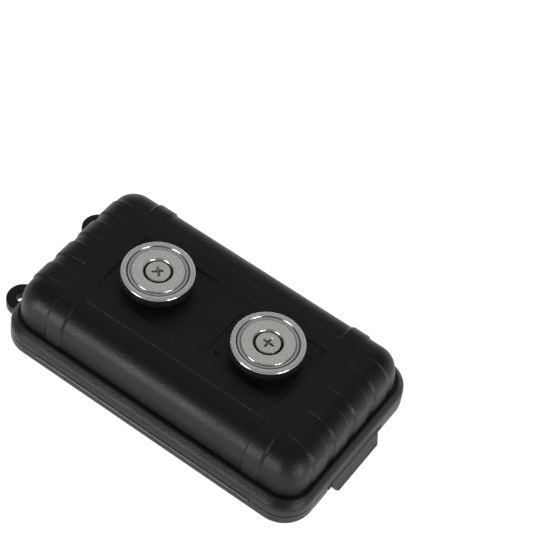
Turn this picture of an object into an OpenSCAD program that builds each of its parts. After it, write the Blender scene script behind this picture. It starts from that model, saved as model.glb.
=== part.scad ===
// Magnetic key holder box: a hinged two-half case with a rubber seal, a snap latch at one
// end, two lanyard ears at the hinge end and two screwed-on pot magnets on its flat face.
// The case lies on its lid, magnets up. The origin is the middle of the lid's resting face,
// +X points to the latch and +Z up. All sizes are in millimetres.

/* [Case] */
// Length over the rim
rim_length = 134; // [112:1:170]
// Width over the rim
rim_width = 79; // [66:1:100]
// Corner radius of the rim in plan
rim_corner_radius = 12; // [11:0.5:16]
// Depth of the base half, from the parting plane to its flat face
base_depth = 24; // [20:1:36]
// Depth of the lid half, from its resting face to the parting plane
lid_depth = 16; // [14:1:28]
// Thickness of the shell walls
wall = 2.4; // [2:0.1:3]
// How far the rim stands out past the body on the long sides
side_ledge = 6.1; // [5.5:0.1:8]
// How far the rim stands out past the body at the ends
end_ledge = 4.9; // [4.9:0.1:7]
// Gap between the two halves at the parting plane
parting_gap = 0.3; // [0.2:0.05:0.5]

/* [Rim] */
// Height of the rim on the base half
base_rim_height = 7; // [6:0.5:9]
// Height of the rim on the lid half
lid_rim_height = 4.65; // [4:0.05:6]
// Thickness of the outer skirt of each rim
skirt = 2.2; // [1.8:0.1:2.6]
// Thickness of the lid rim's shelf
lid_shelf = 2.4; // [2:0.1:3]
// Thickness of the seal
seal_thickness = 2.5; // [1.5:0.1:2.8]
// Width of the seal
seal_width = 1.7; // [1.4:0.1:1.7]
// Height of the tongue that presses on the seal
tongue_height = 1.5; // [1:0.1:1.6]
// Thickness of the tongue
tongue_thickness = 1; // [0.8:0.02:1.04]
// Clearance between the tongue and what it stands beside
tongue_clearance = 0.3; // [0.3:0.02:0.36]
// Length of the proud lip along each long side of the lid rim
lip_length = 97; // [80:1:105]
// How far the lip stands out
lip_proud = 0.4; // [0.2:0.1:0.8]
// Height of the lip
lip_height = 1.6; // [1:0.1:2.5]

/* [Moulded form] */
// Edge radius of the base half's face
base_edge_radius = 8; // [6:0.5:10]
// Edge radius of the lid half's face
lid_edge_radius = 5; // [4:0.5:8]
// Corner radius of the body in plan
body_corner_radius = 10.6; // [10:0.1:14]
// How much wider the body is at its foot than at its face, on each side
draft = 0.6; // [0.2:0.1:0.6]
// Depth of the moulded pockets
pocket_depth = 0.7; // [0.4:0.1:1]
// Distance from the body's end to the raised band
band_from_end = 15; // [12:0.5:18]
// Width of the raised bands that wrap over the long sides
band_width = 5.8; // [4:0.2:8]
// Distance between neighbouring ridges that wrap over the ends
ridge_pitch = 12.65; // [11:0.05:13.2]
// Width of these ridges
ridge_width = 6.8; // [5:0.1:8]
// Width of the sunk middle panel
panel_width = 30.6; // [28:0.2:36]
// Inner corner radius of the pockets
pocket_corner_radius = 2.2; // [1:0.1:3]
// Length of the label recess in the middle panel
label_length = 32; // [30:0.5:36]
// Width of the label recess
label_width = 24; // [20:0.5:26]
// Depth of the label recess below the middle panel
label_depth = 0.4; // [0.2:0.1:0.5]

/* [Magnets] */
// Distance between the two magnets
magnet_pitch = 49.2; // [40:0.2:60]
// Diameter of a magnet's steel cup
cup_diameter = 27; // [24:0.5:32]
// Height of a magnet's steel cup
cup_height = 4.4; // [4:0.1:6]
// Thickness of the cup's floor
cup_floor = 1.4; // [1:0.1:2]
// Wall thickness of the cup
cup_wall = 2.5; // [2:0.1:3.5]
// Outer diameter of the ring magnet in the cup
ring_diameter = 19.8; // [16:0.2:20]
// How far the filler between ring and cup lies below their faces
filler_recess = 0.6; // [0.3:0.1:1]
// Diameter of the rubber spacer under a cup
spacer_diameter = 14; // [12:0.5:16]
// Thickness of the rubber spacer
spacer_thickness = 3.1; // [2:0.1:4]
// Diameter of the moulded pad that the spacer stands on
pad_diameter = 17; // [15:0.5:19]

/* [Screws] */
// Thread diameter of the magnet screws
screw_diameter = 5; // [4:1:6]
// Length of a screw, over its head
screw_length = 16; // [16:1:25]
// Diameter of a screw's countersunk head
head_diameter = 9.2; // [8:0.1:10]
// Diameter of the countersink at the magnet's face
sink_diameter = 10.2; // [10.2:0.1:11]
// Width of the nut across its flats
nut_flats = 8; // [7:0.5:10]
// Thickness of the nut
nut_thickness = 4; // [3:0.1:5]
// Outer diameter of the washer inside the case
washer_diameter = 10; // [9:0.5:14]
// Thickness of the washer inside the case
washer_thickness = 1; // [0.8:0.1:1.6]

/* [Hinge] */
// Diameter of the hinge pin
hinge_pin_diameter = 2; // [1.6:0.1:2.4]
// Outer diameter of the hinge knuckles
hinge_knuckle_diameter = 4.2; // [3.8:0.1:4.4]
// Distance from the rim's end face to the hinge axis
hinge_offset = 2.3; // [2.3:0.1:3]
// Width over all three knuckles
hinge_width = 30; // [24:1:31]
// Width of the middle knuckle, on the lid
middle_knuckle_width = 16; // [12:0.5:18]
// Gap between neighbouring knuckles
knuckle_gap = 0.15; // [0.1:0.05:0.3]

/* [Ears] */
// Distance between the centres of the two lanyard ears
ear_pitch = 44.3; // [43.5:0.1:50]
// Radius of a lanyard ear
ear_radius = 6.3; // [5.5:0.1:6.3]
// Distance from the rim's end face to an ear's centre
ear_offset = 1.7; // [1:0.1:3]
// Thickness of an ear
ear_thickness = 4.4; // [3:0.1:4.6]
// Diameter of the lanyard hole
lanyard_hole_diameter = 4.5; // [4:0.1:5]
// Distance from the rim's end face to the lanyard hole's centre
lanyard_hole_offset = 2.7; // [2.7:0.1:3.5]

/* [Latch] */
// Width of the latch
latch_width = 29; // [22:1:36]
// Diameter of the latch pin
latch_pin_diameter = 1.6; // [1.4:0.1:1.8]
// Outer diameter of the latch's knuckle
latch_knuckle_diameter = 3.2; // [3:0.1:3.4]
// Distance from the rim's end face back to the latch pin
latch_pin_inset = 1; // [0.8:0.1:1]
// Distance from the parting plane down to the latch pin
latch_pin_drop = 2.1; // [2:0.1:2.3]
// How far the finger tab stands out past the rim's end face
tab_reach = 2.1; // [1.5:0.1:3]
// Distance from the parting plane down to the tab's lower edge
tab_drop = 6.8; // [6:0.1:8]
// Thickness of the finger tab
tab_thickness = 1.6; // [1.2:0.1:2]
// How much narrower the tab's lower edge is, on each side
tab_taper = 2.5; // [0:0.1:4]
// Thickness of the lugs that hold the latch pin
lug_thickness = 2; // [1.5:0.1:3]

/* [Foam pad] */
// Thickness of the foam pad on the lid's floor
foam_thickness = 4; // [2:0.5:6]
// Gap between the foam pad and the lid's walls
foam_gap = 0.5; // [0.3:0.1:2]

/* [Hidden] */

// Roundness of the round parts, and of the smooth bodies
$fn = 64;
smooth_fn = 32;

// A hair of overlap that keeps cuts clean
eps = 0.01;
// Height of the upright foot of a smooth body
foot_height = 0.5;
// Play of a pin that is pushed in, and of one that turns
tight_play = 0.01;
running_play = 0.05;
// Clearance between moving plastic parts
moving_clearance = 0.3;
// Clearance round a screw's shank
shank_clearance = 0.25;
// Gap between loose parts that are dropped in beside each other
seat_play = 0.05;

body_length = rim_length - 2 * end_ledge;
body_width = rim_width - 2 * side_ledge;
base_top = lid_depth + base_depth;
lid_top = lid_depth - parting_gap / 2;
base_bottom = lid_depth + parting_gap / 2;
base_half_height = base_top - base_bottom;
ceiling = base_top - wall;
panel_floor = base_top - pocket_depth;

// The bands' edges and the pockets line up with each other
band_outer = body_length / 2 - band_from_end;
band_inner = band_outer - band_width;
ridge_count = 4;
plateau_half = ((ridge_count - 1) * ridge_pitch + ridge_width) / 2;

// Channel in the base rim: seal at its roof, tongue below
tongue_top = lid_top + tongue_height;
seal_bottom = tongue_top + moving_clearance;
channel_roof = seal_bottom + seal_thickness;
foot_length = body_length + 2 * draft;
foot_width = body_width + 2 * draft;
foot_corner_radius = body_corner_radius + draft;
seal_inset = 0.1;

// Magnets, from the face of the case upwards
cup_bottom = base_top + spacer_thickness;
magnet_face = cup_bottom + cup_height;
ring_bottom = cup_bottom + cup_floor;
shank_hole_diameter = screw_diameter + 2 * shank_clearance;
// The head rests on the countersink, so it lies as deep as it is narrower
head_recess = (sink_diameter - head_diameter) / 2 - seat_play;
screw_top = magnet_face - head_recess;
magnet_x = magnet_pitch / 2;

// The label recess surrounds the latch end magnet, set towards the near side
label_x = magnet_x - 2.1;
label_y = -2.2;

hinge_x = -(rim_length / 2 + hinge_offset);
hinge_z = lid_depth;
knuckle_arm_height = 3.5;
ear_x = -(rim_length / 2 + ear_offset);
lanyard_hole_x = -(rim_length / 2 + lanyard_hole_offset);

latch_pin_x = rim_length / 2 - latch_pin_inset;
latch_pin_z = lid_depth - latch_pin_drop;
latch_knuckle_radius = latch_knuckle_diameter / 2;
notch_inner_x = latch_pin_x - latch_knuckle_radius - moving_clearance;
notch_half_width = latch_width / 2 + lug_thickness + 2 * moving_clearance;
catch_height = 1.4;

lid_floor = wall;
lid_inner_radius = lid_edge_radius - wall;

black_plastic = [0.11, 0.11, 0.11];
dark_rubber = [0.05, 0.05, 0.05];
nickel = [0.66, 0.66, 0.67];
bright_steel = [0.72, 0.72, 0.73];
grey_foam = [0.2, 0.2, 0.21];
grey_resin = [0.4, 0.4, 0.41];

// A rectangle with round corners, centred
module plan(length, width, radius) {
    square([length - 2 * radius, width], center = true);
    square([length, width - 2 * radius], center = true);
    for (sx = [-1, 1], sy = [-1, 1])
        translate([sx * (length / 2 - radius), sy * (width / 2 - radius)])
            circle(r = radius);
}

// The closed band between two such rectangles
module plan_ring(length, width, radius, band) {
    difference() {
        plan(length, width, radius);
        plan(length - 2 * band, width - 2 * band, radius - band);
    }
}

// One corner of a smooth body: a drafted post with a rounded upper edge
module corner_post(radius, edge, height, spread) {
    translate([0, 0, height - edge])
        rotate_extrude($fn = smooth_fn)
            intersection() {
                translate([radius - edge, 0]) circle(r = edge, $fn = smooth_fn);
                translate([0, -edge]) square([radius, 2 * edge]);
            }
    cylinder(h = foot_height, r = radius + spread, $fn = smooth_fn);
}

// A smooth body that stands on z = 0, wider at its foot, with a rounded upper edge
module smooth_body(length, width, radius, edge, height, spread) {
    hull()
        for (sx = [-1, 1], sy = [-1, 1])
            translate([sx * (length / 2 - radius), sy * (width / 2 - radius), 0])
                corner_post(radius, edge, height, spread);
}

// A pocket between two corners of the plan, open beyond the body's outline
module pocket(x0, x1, y0, y1) {
    translate([(x0 + x1) / 2, (y0 + y1) / 2])
        plan(x1 - x0, y1 - y0, pocket_corner_radius);
}

// Everything that stands proud of the pockets, in plan; the base's face has a sunk panel too
module raised_plan(panel) {
    far_x = body_length / 2 + 6;
    far_y = body_width / 2 + 6;
    difference() {
        square([2 * far_x, 2 * far_y], center = true);
        if (panel) plan(2 * band_inner, panel_width, pocket_corner_radius);
        for (turn = [0, 180]) rotate(turn) {
            pocket(-band_inner, band_inner, plateau_half, far_y);
            pocket(-far_x, -band_outer, plateau_half, far_y);
            pocket(band_outer, far_x, plateau_half, far_y);
            for (i = [1 : ridge_count - 1]) {
                pocket_y = (i - ridge_count / 2) * ridge_pitch;
                pocket_half = (ridge_pitch - ridge_width) / 2;
                pocket(band_outer, far_x, pocket_y - pocket_half, pocket_y + pocket_half);
            }
        }
    }
}

// A case half's outside: the pocket floors, and what is raised above them
module half_outside(height, edge, panel) {
    smooth_body(body_length - 2 * pocket_depth, body_width - 2 * pocket_depth,
        body_corner_radius - pocket_depth, edge - pocket_depth, height - pocket_depth, draft);
    intersection() {
        smooth_body(body_length, body_width, body_corner_radius, edge, height, draft);
        linear_extrude(height + 1) raised_plan(panel);
    }
}

// The hollow inside a case half
module half_hollow(height, edge) {
    translate([0, 0, -1])
        smooth_body(body_length - 2 * wall, body_width - 2 * wall,
            body_corner_radius - wall, edge - wall, height - wall + 1, 0);
}

// The rim of a case half, with a rounded outer edge
module rim_outside(height, edge) {
    smooth_body(rim_length, rim_width, rim_corner_radius, edge, height, 0);
}

// The groove between the body and the outer skirt of a rim, in plan
module rim_groove_plan() {
    difference() {
        plan(rim_length - 2 * skirt, rim_width - 2 * skirt, rim_corner_radius - skirt);
        plan(foot_length, foot_width, foot_corner_radius);
    }
}

// A knuckle with its arm, which reaches towards +X on the side of z that side gives
module hinge_knuckle(width, side) {
    rotate([90, 0, 0]) cylinder(d = hinge_knuckle_diameter, h = width, center = true);
    arm_low = side > 0 ? parting_gap / 2 : -knuckle_arm_height;
    translate([0, -width / 2, arm_low])
        cube([hinge_offset + 1, width, knuckle_arm_height - parting_gap / 2]);
}

module base_shell() {
    outer_knuckle = (hinge_width - middle_knuckle_width) / 2 - knuckle_gap;
    outer_knuckle_y = (hinge_width - outer_knuckle) / 2;
    lug_y = latch_width / 2 + moving_clearance + lug_thickness / 2;
    color(black_plastic)
    difference() {
        union() {
            translate([0, 0, base_bottom]) {
                half_outside(base_half_height, base_edge_radius, true);
                difference() {
                    rim_outside(base_rim_height, 1.6);
                    translate([0, 0, -1])
                        linear_extrude(channel_roof - base_bottom + 1) rim_groove_plan();
                }
            }
            // Pads that carry the spacers
            for (side = [-1, 1])
                translate([side * magnet_x, 0, ceiling - eps])
                    cylinder(d = pad_diameter, h = wall + eps);
            for (side = [-1, 1])
                translate([hinge_x, side * outer_knuckle_y, hinge_z])
                    hinge_knuckle(outer_knuckle, 1);
            // Lugs for the latch pin
            for (side = [-1, 1])
                translate([latch_pin_x, side * lug_y, latch_pin_z]) {
                    rotate([90, 0, 0])
                        cylinder(r = latch_knuckle_radius, h = lug_thickness, center = true);
                    translate([0.2 - skirt / 2, -lug_thickness / 2, 0])
                        cube([skirt - 0.4, lug_thickness, latch_pin_drop + 1]);
                }
        }
        translate([0, 0, base_bottom]) half_hollow(base_half_height, base_edge_radius);
        // Label recess, round the pad
        difference() {
            translate([label_x, label_y, panel_floor - label_depth])
                linear_extrude(pocket_depth)
                    plan(label_length, label_width, pocket_corner_radius);
            translate([magnet_x, 0, ceiling]) cylinder(d = pad_diameter, h = 2 * wall);
        }
        for (side = [-1, 1])
            translate([side * magnet_x, 0, ceiling - 1])
                cylinder(d = shank_hole_diameter, h = wall + 2);
        translate([hinge_x, 0, hinge_z]) rotate([90, 0, 0])
            cylinder(d = hinge_pin_diameter + 2 * tight_play, h = hinge_width + 2, center = true);
        translate([latch_pin_x, 0, latch_pin_z]) rotate([90, 0, 0])
            cylinder(d = latch_pin_diameter + 2 * tight_play,
                h = 2 * notch_half_width, center = true);
    }
}

module lid_shell() {
    color(black_plastic)
    difference() {
        union() {
            translate([0, 0, lid_top]) mirror([0, 0, 1]) {
                half_outside(lid_top, lid_edge_radius, false);
                difference() {
                    rim_outside(lid_rim_height, 1.2);
                    translate([0, 0, lid_shelf])
                        linear_extrude(lid_rim_height) rim_groove_plan();
                    // Notch for the latch and its lugs
                    translate([notch_inner_x, -notch_half_width, -1])
                        cube([rim_length, 2 * notch_half_width, lid_rim_height + 2]);
                }
            }
            // Catch under the shelf, in the notch
            translate([body_length / 2 - wall / 2, -latch_width / 2,
                       lid_top - lid_shelf - catch_height])
                cube([notch_inner_x - body_length / 2 + wall / 2, latch_width,
                      catch_height + eps]);
            // Tongue
            translate([0, 0, lid_top - eps])
                linear_extrude(tongue_height + eps)
                    plan_ring(foot_length + 2 * (tongue_clearance + tongue_thickness),
                        foot_width + 2 * (tongue_clearance + tongue_thickness),
                        foot_corner_radius + tongue_clearance + tongue_thickness,
                        tongue_thickness);
            // Proud lip along both long sides
            for (side = [-1, 1])
                translate([0, side * (rim_width / 2 - 0.5 + lip_proud / 2), lid_top - lip_height / 2])
                    cube([lip_length, 1 + lip_proud, lip_height], center = true);
            translate([hinge_x, 0, hinge_z]) hinge_knuckle(middle_knuckle_width, -1);
            for (side = [-1, 1])
                translate([ear_x, side * ear_pitch / 2, lid_top - ear_thickness])
                    cylinder(r = ear_radius, h = ear_thickness);
        }
        translate([0, 0, lid_top]) mirror([0, 0, 1]) half_hollow(lid_top, lid_edge_radius);
        translate([hinge_x, 0, hinge_z]) rotate([90, 0, 0])
            cylinder(d = hinge_pin_diameter + 2 * running_play, h = hinge_width, center = true);
        for (side = [-1, 1])
            translate([lanyard_hole_x, side * ear_pitch / 2, lid_top - ear_thickness - 1])
                cylinder(d = lanyard_hole_diameter, h = ear_thickness + 2);
    }
}

// Rubber ring at the roof of the base rim's channel
module rim_seal() {
    color(dark_rubber)
    translate([0, 0, seal_bottom])
        linear_extrude(seal_thickness)
            plan_ring(foot_length + 2 * (seal_inset + seal_width),
                foot_width + 2 * (seal_inset + seal_width),
                foot_corner_radius + seal_inset + seal_width, seal_width);
}

module hinge_pin() {
    color(bright_steel)
    translate([hinge_x, 0, hinge_z]) rotate([90, 0, 0])
        cylinder(d = hinge_pin_diameter, h = hinge_width, center = true);
}

module latch_pin() {
    color(bright_steel)
    translate([latch_pin_x, 0, latch_pin_z]) rotate([90, 0, 0])
        cylinder(d = latch_pin_diameter,
            h = latch_width + 2 * (moving_clearance + lug_thickness), center = true);
}

// The finger tab's section, seen along Y with the pin at the origin
module tab_section() {
    tab_x = latch_pin_inset + tab_reach;
    tab_z = latch_pin_drop - tab_drop;
    polygon([
        [-0.2, 0.3 - latch_knuckle_radius],
        [latch_knuckle_radius - 0.05, -0.2],
        [tab_x, tab_z + 0.5],
        [tab_x - 0.2, tab_z],
        [tab_x - tab_thickness, tab_z]
    ]);
}

// The section of the nib, drawn relaxed: just clear of the catch that it snaps under
module nib_section() {
    nib_tip = notch_inner_x + moving_clearance - latch_pin_x;
    nib_top = lid_top - lid_shelf - catch_height - moving_clearance - latch_pin_z;
    polygon([
        [nib_tip, nib_top],
        [0.6, nib_top],
        [1.2, nib_top - 1],
        [nib_tip + 0.3, nib_top - 0.8]
    ]);
}

module latch() {
    color(black_plastic)
    translate([latch_pin_x, 0, latch_pin_z])
        difference() {
            rotate([90, 0, 0]) {
                cylinder(r = latch_knuckle_radius, h = latch_width, center = true);
                linear_extrude(latch_width, center = true) tab_section();
                linear_extrude(latch_width - 2 * tab_taper - 1, center = true) nib_section();
            }
            rotate([90, 0, 0])
                cylinder(d = latch_pin_diameter + 2 * running_play,
                    h = latch_width + 2, center = true);
            // Tapered lower corners
            for (side = [-1, 1])
                translate([-latch_knuckle_radius, side * latch_width / 2, -latch_knuckle_radius])
                    rotate([0, 90, 0])
                        linear_extrude(tab_drop)
                            polygon([
                                [0, 0],
                                [tab_drop, -side * tab_taper],
                                [tab_drop, side],
                                [0, side]
                            ]);
        }
}

// Foam pad: its lower edge is cut back to clear the lid's inner corner
module lid_foam_pad() {
    length = body_length - 2 * wall - 2 * foam_gap;
    width = body_width - 2 * wall - 2 * foam_gap;
    radius = body_corner_radius - wall - foam_gap;
    color(grey_foam)
    translate([0, 0, lid_floor])
        hull() {
            linear_extrude(eps)
                plan(length - 2 * lid_inner_radius, width - 2 * lid_inner_radius,
                    radius - lid_inner_radius);
            translate([0, 0, lid_inner_radius])
                linear_extrude(foam_thickness - lid_inner_radius) plan(length, width, radius);
        }
}

// Steel cup of a pot magnet, open upwards
module magnet_cup(side) {
    chamfer = 0.4;
    color(nickel)
    translate([side * magnet_x, 0, cup_bottom])
        rotate_extrude()
            polygon([
                [shank_hole_diameter / 2, 0],
                [cup_diameter / 2 - chamfer, 0],
                [cup_diameter / 2, chamfer],
                [cup_diameter / 2, cup_height - chamfer],
                [cup_diameter / 2 - chamfer, cup_height],
                [cup_diameter / 2 - cup_wall, cup_height],
                [cup_diameter / 2 - cup_wall, cup_floor],
                [shank_hole_diameter / 2, cup_floor]
            ]);
}

// Ring magnet with a countersunk hole
module magnet_ring(side) {
    height = cup_height - cup_floor;
    sink_depth = (sink_diameter - shank_hole_diameter) / 2;
    color(bright_steel)
    translate([side * magnet_x, 0, ring_bottom])
        rotate_extrude()
            polygon([
                [shank_hole_diameter / 2, 0],
                [ring_diameter / 2, 0],
                [ring_diameter / 2, height],
                [sink_diameter / 2, height],
                [shank_hole_diameter / 2, height - sink_depth]
            ]);
}

// Filler in the gap between the ring magnet and the cup
module magnet_filler(side) {
    inner = ring_diameter / 2 + seat_play;
    outer = cup_diameter / 2 - cup_wall - seat_play;
    color(grey_resin)
    translate([side * magnet_x, 0, ring_bottom])
        rotate_extrude()
            translate([inner, 0])
                square([outer - inner, cup_height - cup_floor - filler_recess]);
}

// Countersunk screw with a cross recess
module magnet_screw(side) {
    head_depth = (head_diameter - screw_diameter) / 2;
    cross_width = 0.8;
    cross_length = 4.8;
    cross_depth = 1.6;
    color(bright_steel)
    translate([side * magnet_x, 0, screw_top])
        difference() {
            rotate_extrude()
                polygon([
                    [0, -screw_length],
                    [screw_diameter / 2 - 0.4, -screw_length],
                    [screw_diameter / 2, -screw_length + 0.4],
                    [screw_diameter / 2, -head_depth],
                    [head_diameter / 2, 0],
                    [0, 0]
                ]);
            rotate(side > 0 ? 0 : 45)
                for (turn = [0, 90])
                    rotate(turn)
                        translate([-cross_length / 2, -cross_width / 2, -cross_depth])
                            cube([cross_length, cross_width, cross_depth + 1]);
        }
}

module rubber_spacer(side) {
    color(dark_rubber)
    translate([side * magnet_x, 0, base_top])
        difference() {
            cylinder(d = spacer_diameter, h = spacer_thickness);
            translate([0, 0, -1])
                cylinder(d = shank_hole_diameter, h = spacer_thickness + 2);
        }
}

module washer(side) {
    color(bright_steel)
    translate([side * magnet_x, 0, ceiling - washer_thickness])
        difference() {
            cylinder(d = washer_diameter, h = washer_thickness);
            translate([0, 0, -1])
                cylinder(d = screw_diameter + shank_clearance, h = washer_thickness + 2);
        }
}

module nut(side) {
    color(bright_steel)
    translate([side * magnet_x, 0, ceiling - washer_thickness - nut_thickness])
        difference() {
            cylinder(d = nut_flats / cos(30), h = nut_thickness, $fn = 6);
            translate([0, 0, -1])
                cylinder(d = screw_diameter + 2 * running_play, h = nut_thickness + 2);
        }
}

base_shell();
lid_shell();
rim_seal();
hinge_pin();
latch();
latch_pin();
lid_foam_pad();
magnet_cup(-1);  // magnet_cup_hinge_end
magnet_ring(-1);  // magnet_ring_hinge_end
magnet_filler(-1);  // magnet_filler_hinge_end
magnet_screw(-1);  // magnet_screw_hinge_end
rubber_spacer(-1);  // rubber_spacer_hinge_end
washer(-1);  // washer_hinge_end
nut(-1);  // nut_hinge_end
magnet_cup(1);  // magnet_cup_latch_end
magnet_ring(1);  // magnet_ring_latch_end
magnet_filler(1);  // magnet_filler_latch_end
magnet_screw(1);  // magnet_screw_latch_end
rubber_spacer(1);  // rubber_spacer_latch_end
washer(1);  // washer_latch_end
nut(1);  // nut_latch_end
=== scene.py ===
# %% [markdown]
# # A magnetic key holder box
#
# The real object is a small two-part case of black moulded ABS, 134 by 79 mm, that hides a
# key under a car. It lies on its lid with two screwed-on pot magnets on top. Every size here
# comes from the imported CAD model, which is loaded first and is never moved: each piece made
# below rides on one of its bodies, so the lid, the latch and the base keep their joints.

# %% Load the measured frame
import math
import bmesh
import bpy
import numpy as np
from mathutils import Matrix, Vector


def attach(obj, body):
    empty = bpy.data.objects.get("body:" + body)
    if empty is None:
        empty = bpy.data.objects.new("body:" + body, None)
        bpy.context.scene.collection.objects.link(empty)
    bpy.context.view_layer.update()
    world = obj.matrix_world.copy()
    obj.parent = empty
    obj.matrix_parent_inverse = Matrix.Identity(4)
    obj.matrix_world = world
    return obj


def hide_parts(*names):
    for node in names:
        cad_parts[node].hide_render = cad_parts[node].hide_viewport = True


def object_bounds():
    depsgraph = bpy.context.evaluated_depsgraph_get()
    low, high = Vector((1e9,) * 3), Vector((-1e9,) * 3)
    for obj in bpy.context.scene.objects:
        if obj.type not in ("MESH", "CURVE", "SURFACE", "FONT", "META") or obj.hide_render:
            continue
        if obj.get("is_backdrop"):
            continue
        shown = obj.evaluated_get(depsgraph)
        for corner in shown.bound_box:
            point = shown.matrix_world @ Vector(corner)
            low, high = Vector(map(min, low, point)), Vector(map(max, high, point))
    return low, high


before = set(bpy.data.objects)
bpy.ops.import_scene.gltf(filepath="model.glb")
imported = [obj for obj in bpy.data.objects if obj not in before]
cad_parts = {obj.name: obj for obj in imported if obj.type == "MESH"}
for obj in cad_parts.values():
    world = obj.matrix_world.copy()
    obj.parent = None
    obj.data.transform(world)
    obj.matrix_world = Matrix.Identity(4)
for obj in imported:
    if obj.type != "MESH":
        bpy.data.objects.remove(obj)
cad_low, cad_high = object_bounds()
cad_box = [list(cad_low), list(cad_high)]
print("size in mm:", [round((high - low) * 1000, 1) for low, high in zip(cad_low, cad_high)])

# %% [markdown]
# ## Camera
#
# A product photographer stood well back with a long lens, so the edges hardly converge. The
# place and the turn were solved from the ellipses of the two magnets and the straight edges
# of the rim. A camera could also be aimed with a Track To constraint, but a matrix holds the
# solved view exactly.

# %% Camera at the photograph's place
image_side = 533
focal_pixels = 1895.7
position = (0.21000671, -0.34528095, 0.58836647)
right = (0.80595376, 0.58423777, 0.09541888)
down = (0.51090500, -0.60506108, -0.61063670)
forward = (-0.29902277, 0.54089493, -0.78614125)

camera_data = bpy.data.cameras.new("camera")
camera_data.sensor_width = 36
camera_data.lens = focal_pixels * camera_data.sensor_width / image_side
camera_data.clip_start = 0.01
camera_data.clip_end = 20
camera = bpy.data.objects.new("camera", camera_data)
turn = Matrix((right, [-v for v in down], [-v for v in forward])).transposed()
camera.matrix_world = Matrix.Translation(position) @ turn.to_4x4()
bpy.context.scene.collection.objects.link(camera)
bpy.context.scene.camera = camera
bpy.context.scene.view_settings.view_transform = "Standard"
print("lens in mm:", round(camera_data.lens, 2))

# %% [markdown]
# ## From arrays to a piece
#
# Every new piece is a surface worked out with numpy in millimetres. Points that fall on the
# same place are welded, which closes seams and poles, and the signed volume says which way
# the faces look, so that a shape drawn inside out is turned round before it becomes a mesh.

# %% Weld, check and hand over a mesh
MM = 0.001


def merge(points):
    """Points that are equal to a ten-thousandth of a millimetre share one place. Returns the
    places, the first point at each of them, and the place of every point. Adding zero makes
    minus zero and zero the same."""
    places, first, index = np.unique(
        np.round(points, 4) + 0.0, axis=0, return_index=True, return_inverse=True)
    return places, first, index.reshape(-1)


def weld(points, quads):
    """Merges the points, then leaves out of each quad the corner that has fallen onto the
    next one; what is left with two corners goes."""
    places, _, index = merge(points)
    corners = index[quads]
    repeated = corners == np.roll(corners, -1, axis=1)
    count = repeated.sum(axis=1)
    triangles = corners[count == 1][~repeated[count == 1]].reshape(-1, 3)
    return places, corners[count == 0].tolist() + triangles.tolist()


def make_piece(name, points, faces, body, slot, finish, stands_for=(), sharp=38):
    """Makes the mesh, turns it outwards by the sign of its volume, and puts it in the frame."""
    mesh = bpy.data.meshes.new(name)
    mesh.from_pydata((np.asarray(points) * MM).tolist(), [], faces)
    solid = bmesh.new()
    solid.from_mesh(mesh)
    if solid.calc_volume(signed=True) < 0:
        bmesh.ops.reverse_faces(solid, faces=solid.faces)
    solid.to_mesh(mesh)
    open_edges = sum(len(edge.link_faces) != 2 for edge in solid.edges)
    solid.free()
    mesh.shade_smooth()
    mesh.set_sharp_from_angle(angle=math.radians(sharp))
    mesh.materials.append(finish)
    piece = bpy.data.objects.new(name, mesh)
    bpy.context.scene.collection.objects.link(piece)
    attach(piece, body)
    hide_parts(*stands_for)
    triangles = sum(len(face) - 2 for face in faces)
    print(f"{name}: {triangles} triangles, {open_edges} open edges")
    return piece


def store(piece, name, values):
    """Keeps one number for each point of the mesh, which a finish can read."""
    attribute = piece.data.attributes.new(name, "FLOAT", "POINT")
    attribute.data.foreach_set("value", values.astype(np.float32))


def grid_quads(rows, columns, close_rows, close_columns):
    """Quads between neighbouring rows and columns of a grid that is stored row by row."""
    row = np.arange(rows if close_rows else rows - 1)[:, None]
    column = np.arange(columns if close_columns else columns - 1)[None, :]
    next_row, next_column = (row + 1) % rows, (column + 1) % columns
    corners = (row * columns + column, row * columns + next_column,
               next_row * columns + next_column, next_row * columns + column)
    shape = (row.size, column.size)
    return np.stack([np.broadcast_to(c, shape) for c in corners], -1).reshape(-1, 4)


# %% [markdown]
# ## Round corners in a profile
#
# Moulded and turned parts have no knife edges. A profile is written as a few corner points,
# and each corner is replaced by a rational quadratic curve. With the cosine of half the turn
# as its middle weight that curve is an exact circular arc, so a cut of 8 mm at a right angle
# is a radius of 8 mm. A bevel modifier could round edges too, but here the arc's rows are
# needed later, for the pockets that run over it.

# %% Fillet the corners of a profile
def arc(before, corner, after, cut, steps):
    """The weighted curve between the points that lie cut away from the corner on both legs."""
    if cut == 0:
        return corner[None, :]
    leg_in, leg_out = before - corner, after - corner
    leg_in = leg_in / np.hypot(leg_in[0], leg_in[-1])
    leg_out = leg_out / np.hypot(leg_out[0], leg_out[-1])
    turn_cosine = -(leg_in[0] * leg_out[0] + leg_in[-1] * leg_out[-1])
    weight = math.sqrt((1 + turn_cosine) / 2)
    t = np.linspace(0, 1, steps + 1)[:, None]
    first, middle, last = (1 - t) ** 2, 2 * t * (1 - t) * weight, t ** 2
    ends = first * (corner + cut * leg_in) + last * (corner + cut * leg_out)
    return (ends + middle * corner) / (first + middle + last)


def fillet(corners):
    """corners holds one tuple for each corner: its values, the cut and the number of steps.
    The first and the last value are the radius or half length, and the height."""
    values = np.array([corner[:-2] for corner in corners], float)
    before, after = np.roll(values, 1, axis=0), np.roll(values, -1, axis=0)
    return np.concatenate([
        arc(before[i], values[i], after[i], corner[-2], corner[-1])
        for i, corner in enumerate(corners)])


bend = fillet([(0, 0, 0, 0), (10, 0, 8, 9), (10, 10, 0, 0)])[1:-1]
off_arc = np.abs(np.hypot(bend[:, 0] - 2, bend[:, 1] - 8) - 8).max()
print("largest distance from a true arc of 8 mm:", round(float(off_arc), 9))

# %% [markdown]
# ## Colours
#
# Colours are picked as sRGB hex values, as on a paint card, and Blender works in linear
# light, so one function turns the one into the other. One more adds a node with its settings
# and links, which keeps each finish below down to the lines that matter.

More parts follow.
